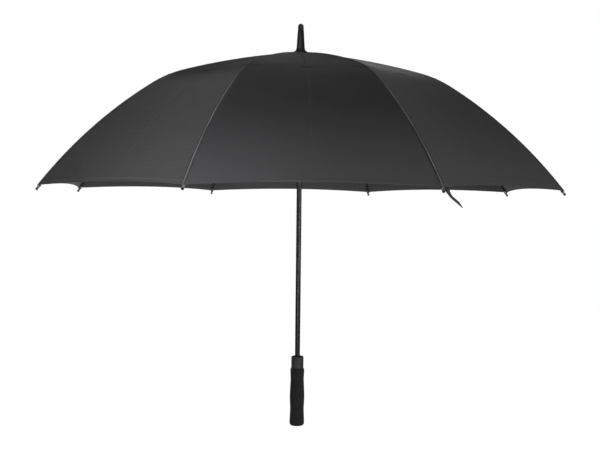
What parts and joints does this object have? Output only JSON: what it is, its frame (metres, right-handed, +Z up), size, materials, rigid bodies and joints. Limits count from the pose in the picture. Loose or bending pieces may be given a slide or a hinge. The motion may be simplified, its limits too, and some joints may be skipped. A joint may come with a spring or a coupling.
{
  "type": "golf umbrella",
  "caption": "Large round rain umbrella with a straight foam grip, folding ribs and stretchers, spring opening and a release button.",
  "frame": {"origin": "centre of the end face of the handle, at the bottom of the shaft", "axes": "+Z up the shaft towards the ferrule, -Y towards the viewer, +X to the viewer's right; the release button faces +Y"},
  "size_m": [1.2168, 1.2168, 1.009],
  "materials": {
    "canopy_cloth": "dense black pongee cloth, slight sheen",
    "graphite_shaft": "black wound fibre composite, satin",
    "rib_glassfibre": "black glass-fibre rod, satin",
    "black_steel": "black lacquered steel",
    "moulded_black": "moulded nylon, satin",
    "collar_grey": "moulded dark grey plastic",
    "foam_black": "closed-cell foam, matte",
    "spring_steel": "spring steel",
    "tip_metal": "nickel-plated rib tips",
    "webbing_black": "woven polyester band",
    "thread_black": "binding tape and thread"
  },
  "bodies": {
    "root": {"shaft": "graphite_shaft", "ferrule": "moulded_black", "crown": "moulded_black", "handle_collar": "collar_grey", "foam_grip": "foam_black", "end_cap": "moulded_black"},
    "runner": {"runner": "moulded_black", "opening_spring": "spring_steel"},
    "spring_ring": {"spring_ring": "moulded_black"},
    "push_button": {"push_button": "moulded_black", "latch_plate": "spring_steel"},
    "rib_inner_1": {"rib_inner_1": "rib_glassfibre", "canopy_upper_1": "canopy_cloth"},
    "rib_outer_1": {"rib_outer_1": "rib_glassfibre", "canopy_lower_1": "canopy_cloth", "closing_strap": "webbing_black"},
    "stretcher_1": {"stretcher_1": "black_steel"},
    "strut_1": {"strut_1": "black_steel"},
    "rib_inner_2": {"rib_inner_2": "rib_glassfibre", "canopy_upper_2": "canopy_cloth"},
    "rib_outer_2": {"rib_outer_2": "rib_glassfibre", "canopy_lower_2": "canopy_cloth"},
    "stretcher_2": {"stretcher_2": "black_steel"},
    "strut_2": {"strut_2": "black_steel"},
    "rib_inner_3": {"rib_inner_3": "rib_glassfibre", "canopy_upper_3": "canopy_cloth"},
    "rib_outer_3": {"rib_outer_3": "rib_glassfibre", "canopy_lower_3": "canopy_cloth"},
    "stretcher_3": {"stretcher_3": "black_steel"},
    "strut_3": {"strut_3": "black_steel"},
    "rib_inner_4": {"rib_inner_4": "rib_glassfibre", "canopy_upper_4": "canopy_cloth"},
    "rib_outer_4": {"rib_outer_4": "rib_glassfibre", "canopy_lower_4": "canopy_cloth"},
    "stretcher_4": {"stretcher_4": "black_steel"},
    "strut_4": {"strut_4": "black_steel"},
    "rib_inner_5": {"rib_inner_5": "rib_glassfibre", "canopy_upper_5": "canopy_cloth"},
    "rib_outer_5": {"rib_outer_5": "rib_glassfibre", "canopy_lower_5": "canopy_cloth"},
    "stretcher_5": {"stretcher_5": "black_steel"},
    "strut_5": {"strut_5": "black_steel"},
    "rib_inner_6": {"rib_inner_6": "rib_glassfibre", "canopy_upper_6": "canopy_cloth"},
    "rib_outer_6": {"rib_outer_6": "rib_glassfibre", "canopy_lower_6": "canopy_cloth"},
    "stretcher_6": {"stretcher_6": "black_steel"},
    "strut_6": {"strut_6": "black_steel"},
    "rib_inner_7": {"rib_inner_7": "rib_glassfibre", "canopy_upper_7": "canopy_cloth"},
    "rib_outer_7": {"rib_outer_7": "rib_glassfibre", "canopy_lower_7": "canopy_cloth"},
    "stretcher_7": {"stretcher_7": "black_steel"},
    "strut_7": {"strut_7": "black_steel"},
    "rib_inner_8": {"rib_inner_8": "rib_glassfibre", "canopy_upper_8": "canopy_cloth"},
    "rib_outer_8": {"rib_outer_8": "rib_glassfibre", "canopy_lower_8": "canopy_cloth"},
    "stretcher_8": {"stretcher_8": "black_steel"},
    "strut_8": {"strut_8": "black_steel"}
  },
  "joints": [
    {"name": "runner_slide", "type": "slide", "parent": "root", "child": "runner", "axis": [0, 0, 1], "range_m": [-0.4475, 0], "stiffness_N_per_m": 30, "springref_m": 0.35},
    {"name": "spring_ring_slide", "type": "slide", "parent": "root", "child": "spring_ring", "axis": [0, 0, 1], "range_m": [-0.499, 0], "deforming": ["opening_spring"]},
    {"name": "button_press", "type": "slide", "parent": "root", "child": "push_button", "axis": [0, -1, 0], "range_m": [0, 0.0025], "stiffness_N_per_m": 600, "springref_m": -0.004},
    {"name": "rib_swing_1", "type": "hinge", "parent": "root", "child": "rib_inner_1", "pos_m": [0.00427, -0.00904, 0.9323], "axis": [0.9045, 0.4266, 0], "range_deg": [0, 75.52], "deforming": ["canopy_upper_1"]},
    {"name": "rib_flex_1", "type": "hinge", "parent": "rib_inner_1", "child": "rib_outer_1", "pos_m": [0.14564, -0.30881, 0.85882], "axis": [0.9045, 0.4266, 0], "range_deg": [-29.52, 0], "deforming": ["canopy_lower_1", "closing_strap"]},
    {"name": "stretcher_swing_1", "type": "hinge", "parent": "rib_inner_1", "child": "stretcher_1", "pos_m": [0.14472, -0.30685, 0.85217], "axis": [0.9045, 0.4266, 0], "range_deg": [-136.12, 0]},
    {"name": "strut_swing_1", "type": "hinge", "parent": "stretcher_1", "child": "strut_1", "pos_m": [0.0753, -0.15965, 0.76008], "axis": [0.9045, 0.4266, 0], "range_deg": [-22.88, 0]},
    {"name": "rib_swing_2", "type": "hinge", "parent": "root", "child": "rib_inner_2", "pos_m": [0.00941, -0.00338, 0.9323], "axis": [0.3379, 0.9412, 0], "range_deg": [0, 75.52], "deforming": ["canopy_upper_2"]},
    {"name": "rib_flex_2", "type": "hinge", "parent": "rib_inner_2", "child": "rib_outer_2", "pos_m": [0.32135, -0.11538, 0.85882], "axis": [0.3379, 0.9412, 0], "range_deg": [-29.52, 0], "deforming": ["canopy_lower_2"]},
    {"name": "stretcher_swing_2", "type": "hinge", "parent": "rib_inner_2", "child": "stretcher_2", "pos_m": [0.31931, -0.11464, 0.85217], "axis": [0.3379, 0.9412, 0], "range_deg": [-136.12, 0]},
    {"name": "strut_swing_2", "type": "hinge", "parent": "stretcher_2", "child": "strut_2", "pos_m": [0.16613, -0.05965, 0.76008], "axis": [0.3379, 0.9412, 0], "range_deg": [-22.88, 0]},
    {"name": "rib_swing_3", "type": "hinge", "parent": "root", "child": "rib_inner_3", "pos_m": [0.00904, 0.00427, 0.9323], "axis": [-0.4266, 0.9045, 0], "range_deg": [0, 75.52], "deforming": ["canopy_upper_3"]},
    {"name": "rib_flex_3", "type": "hinge", "parent": "rib_inner_3", "child": "rib_outer_3", "pos_m": [0.30881, 0.14564, 0.85882], "axis": [-0.4266, 0.9045, 0], "range_deg": [-29.52, 0], "deforming": ["canopy_lower_3"]},
    {"name": "stretcher_swing_3", "type": "hinge", "parent": "rib_inner_3", "child": "stretcher_3", "pos_m": [0.30685, 0.14472, 0.85217], "axis": [-0.4266, 0.9045, 0], "range_deg": [-136.12, 0]},
    {"name": "strut_swing_3", "type": "hinge", "parent": "stretcher_3", "child": "strut_3", "pos_m": [0.15965, 0.0753, 0.76008], "axis": [-0.4266, 0.9045, 0], "range_deg": [-22.88, 0]},
    {"name": "rib_swing_4", "type": "hinge", "parent": "root", "child": "rib_inner_4", "pos_m": [0.00338, 0.00941, 0.9323], "axis": [-0.9412, 0.3379, 0], "range_deg": [0, 75.52], "deforming": ["canopy_upper_4"]},
    {"name": "rib_flex_4", "type": "hinge", "parent": "rib_inner_4", "child": "rib_outer_4", "pos_m": [0.11538, 0.32135, 0.85882], "axis": [-0.9412, 0.3379, 0], "range_deg": [-29.52, 0], "deforming": ["canopy_lower_4"]},
    {"name": "stretcher_swing_4", "type": "hinge", "parent": "rib_inner_4", "child": "stretcher_4", "pos_m": [0.11464, 0.31931, 0.85217], "axis": [-0.9412, 0.3379, 0], "range_deg": [-136.12, 0]},
    {"name": "strut_swing_4", "type": "hinge", "parent": "stretcher_4", "child": "strut_4", "pos_m": [0.05965, 0.16613, 0.76008], "axis": [-0.9412, 0.3379, 0], "range_deg": [-22.88, 0]},
    {"name": "rib_swing_5", "type": "hinge", "parent": "root", "child": "rib_inner_5", "pos_m": [-0.00427, 0.00904, 0.9323], "axis": [-0.9045, -0.4266, 0], "range_deg": [0, 75.52], "deforming": ["canopy_upper_5"]},
    {"name": "rib_flex_5", "type": "hinge", "parent": "rib_inner_5", "child": "rib_outer_5", "pos_m": [-0.14564, 0.30881, 0.85882], "axis": [-0.9045, -0.4266, 0], "range_deg": [-29.52, 0], "deforming": ["canopy_lower_5"]},
    {"name": "stretcher_swing_5", "type": "hinge", "parent": "rib_inner_5", "child": "stretcher_5", "pos_m": [-0.14472, 0.30685, 0.85217], "axis": [-0.9045, -0.4266, 0], "range_deg": [-136.12, 0]},
    {"name": "strut_swing_5", "type": "hinge", "parent": "stretcher_5", "child": "strut_5", "pos_m": [-0.0753, 0.15965, 0.76008], "axis": [-0.9045, -0.4266, 0], "range_deg": [-22.88, 0]},
    {"name": "rib_swing_6", "type": "hinge", "parent": "root", "child": "rib_inner_6", "pos_m": [-0.00941, 0.00338, 0.9323], "axis": [-0.3379, -0.9412, 0], "range_deg": [0, 75.52], "deforming": ["canopy_upper_6"]},
    {"name": "rib_flex_6", "type": "hinge", "parent": "rib_inner_6", "child": "rib_outer_6", "pos_m": [-0.32135, 0.11538, 0.85882], "axis": [-0.3379, -0.9412, 0], "range_deg": [-29.52, 0], "deforming": ["canopy_lower_6"]},
    {"name": "stretcher_swing_6", "type": "hinge", "parent": "rib_inner_6", "child": "stretcher_6", "pos_m": [-0.31931, 0.11464, 0.85217], "axis": [-0.3379, -0.9412, 0], "range_deg": [-136.12, 0]},
    {"name": "strut_swing_6", "type": "hinge", "parent": "stretcher_6", "child": "strut_6", "pos_m": [-0.16613, 0.05965, 0.76008], "axis": [-0.3379, -0.9412, 0], "range_deg": [-22.88, 0]},
    {"name": "rib_swing_7", "type": "hinge", "parent": "root", "child": "rib_inner_7", "pos_m": [-0.00904, -0.00427, 0.9323], "axis": [0.4266, -0.9045, 0], "range_deg": [0, 75.52], "deforming": ["canopy_upper_7"]},
    {"name": "rib_flex_7", "type": "hinge", "parent": "rib_inner_7", "child": "rib_outer_7", "pos_m": [-0.30881, -0.14564, 0.85882], "axis": [0.4266, -0.9045, 0], "range_deg": [-29.52, 0], "deforming": ["canopy_lower_7"]},
    {"name": "stretcher_swing_7", "type": "hinge", "parent": "rib_inner_7", "child": "stretcher_7", "pos_m": [-0.30685, -0.14472, 0.85217], "axis": [0.4266, -0.9045, 0], "range_deg": [-136.12, 0]},
    {"name": "strut_swing_7", "type": "hinge", "parent": "stretcher_7", "child": "strut_7", "pos_m": [-0.15965, -0.0753, 0.76008], "axis": [0.4266, -0.9045, 0], "range_deg": [-22.88, 0]},
    {"name": "rib_swing_8", "type": "hinge", "parent": "root", "child": "rib_inner_8", "pos_m": [-0.00338, -0.00941, 0.9323], "axis": [0.9412, -0.3379, 0], "range_deg": [0, 75.52], "deforming": ["canopy_upper_8"]},
    {"name": "rib_flex_8", "type": "hinge", "parent": "rib_inner_8", "child": "rib_outer_8", "pos_m": [-0.11538, -0.32135, 0.85882], "axis": [0.9412, -0.3379, 0], "range_deg": [-29.52, 0], "deforming": ["canopy_lower_8"]},
    {"name": "stretcher_swing_8", "type": "hinge", "parent": "rib_inner_8", "child": "stretcher_8", "pos_m": [-0.11464, -0.31931, 0.85217], "axis": [0.9412, -0.3379, 0], "range_deg": [-136.12, 0]},
    {"name": "strut_swing_8", "type": "hinge", "parent": "stretcher_8", "child": "strut_8", "pos_m": [-0.05965, -0.16613, 0.76008], "axis": [0.9412, -0.3379, 0], "range_deg": [-22.88, 0]}
  ],
  "couplings": [
    {"joint": "spring_ring_slide", "follows": "runner_slide", "ratio": 1.1144},
    {"joint": "rib_swing_1", "follows": "runner_slide", "rad_per_m": -2.9445},
    {"joint": "rib_flex_1", "follows": "runner_slide", "rad_per_m": 1.1505},
    {"joint": "stretcher_swing_1", "follows": "runner_slide", "rad_per_m": 5.3078},
    {"joint": "strut_swing_1", "follows": "runner_slide", "rad_per_m": 0.89141},
    {"joint": "rib_swing_2", "follows": "runner_slide", "rad_per_m": -2.9445},
    {"joint": "rib_flex_2", "follows": "runner_slide", "rad_per_m": 1.1505},
    {"joint": "stretcher_swing_2", "follows": "runner_slide", "rad_per_m": 5.3078},
    {"joint": "strut_swing_2", "follows": "runner_slide", "rad_per_m": 0.89141},
    {"joint": "rib_swing_3", "follows": "runner_slide", "rad_per_m": -2.9445},
    {"joint": "rib_flex_3", "follows": "runner_slide", "rad_per_m": 1.1505},
    {"joint": "stretcher_swing_3", "follows": "runner_slide", "rad_per_m": 5.3078},
    {"joint": "strut_swing_3", "follows": "runner_slide", "rad_per_m": 0.89141},
    {"joint": "rib_swing_4", "follows": "runner_slide", "rad_per_m": -2.9445},
    {"joint": "rib_flex_4", "follows": "runner_slide", "rad_per_m": 1.1505},
    {"joint": "stretcher_swing_4", "follows": "runner_slide", "rad_per_m": 5.3078},
    {"joint": "strut_swing_4", "follows": "runner_slide", "rad_per_m": 0.89141},
    {"joint": "rib_swing_5", "follows": "runner_slide", "rad_per_m": -2.9445},
    {"joint": "rib_flex_5", "follows": "runner_slide", "rad_per_m": 1.1505},
    {"joint": "stretcher_swing_5", "follows": "runner_slide", "rad_per_m": 5.3078},
    {"joint": "strut_swing_5", "follows": "runner_slide", "rad_per_m": 0.89141},
    {"joint": "rib_swing_6", "follows": "runner_slide", "rad_per_m": -2.9445},
    {"joint": "rib_flex_6", "follows": "runner_slide", "rad_per_m": 1.1505},
    {"joint": "stretcher_swing_6", "follows": "runner_slide", "rad_per_m": 5.3078},
    {"joint": "strut_swing_6", "follows": "runner_slide", "rad_per_m": 0.89141},
    {"joint": "rib_swing_7", "follows": "runner_slide", "rad_per_m": -2.9445},
    {"joint": "rib_flex_7", "follows": "runner_slide", "rad_per_m": 1.1505},
    {"joint": "stretcher_swing_7", "follows": "runner_slide", "rad_per_m": 5.3078},
    {"joint": "strut_swing_7", "follows": "runner_slide", "rad_per_m": 0.89141},
    {"joint": "rib_swing_8", "follows": "runner_slide", "rad_per_m": -2.9445},
    {"joint": "rib_flex_8", "follows": "runner_slide", "rad_per_m": 1.1505},
    {"joint": "stretcher_swing_8", "follows": "runner_slide", "rad_per_m": 5.3078},
    {"joint": "strut_swing_8", "follows": "runner_slide", "rad_per_m": 0.89141}
  ]
}
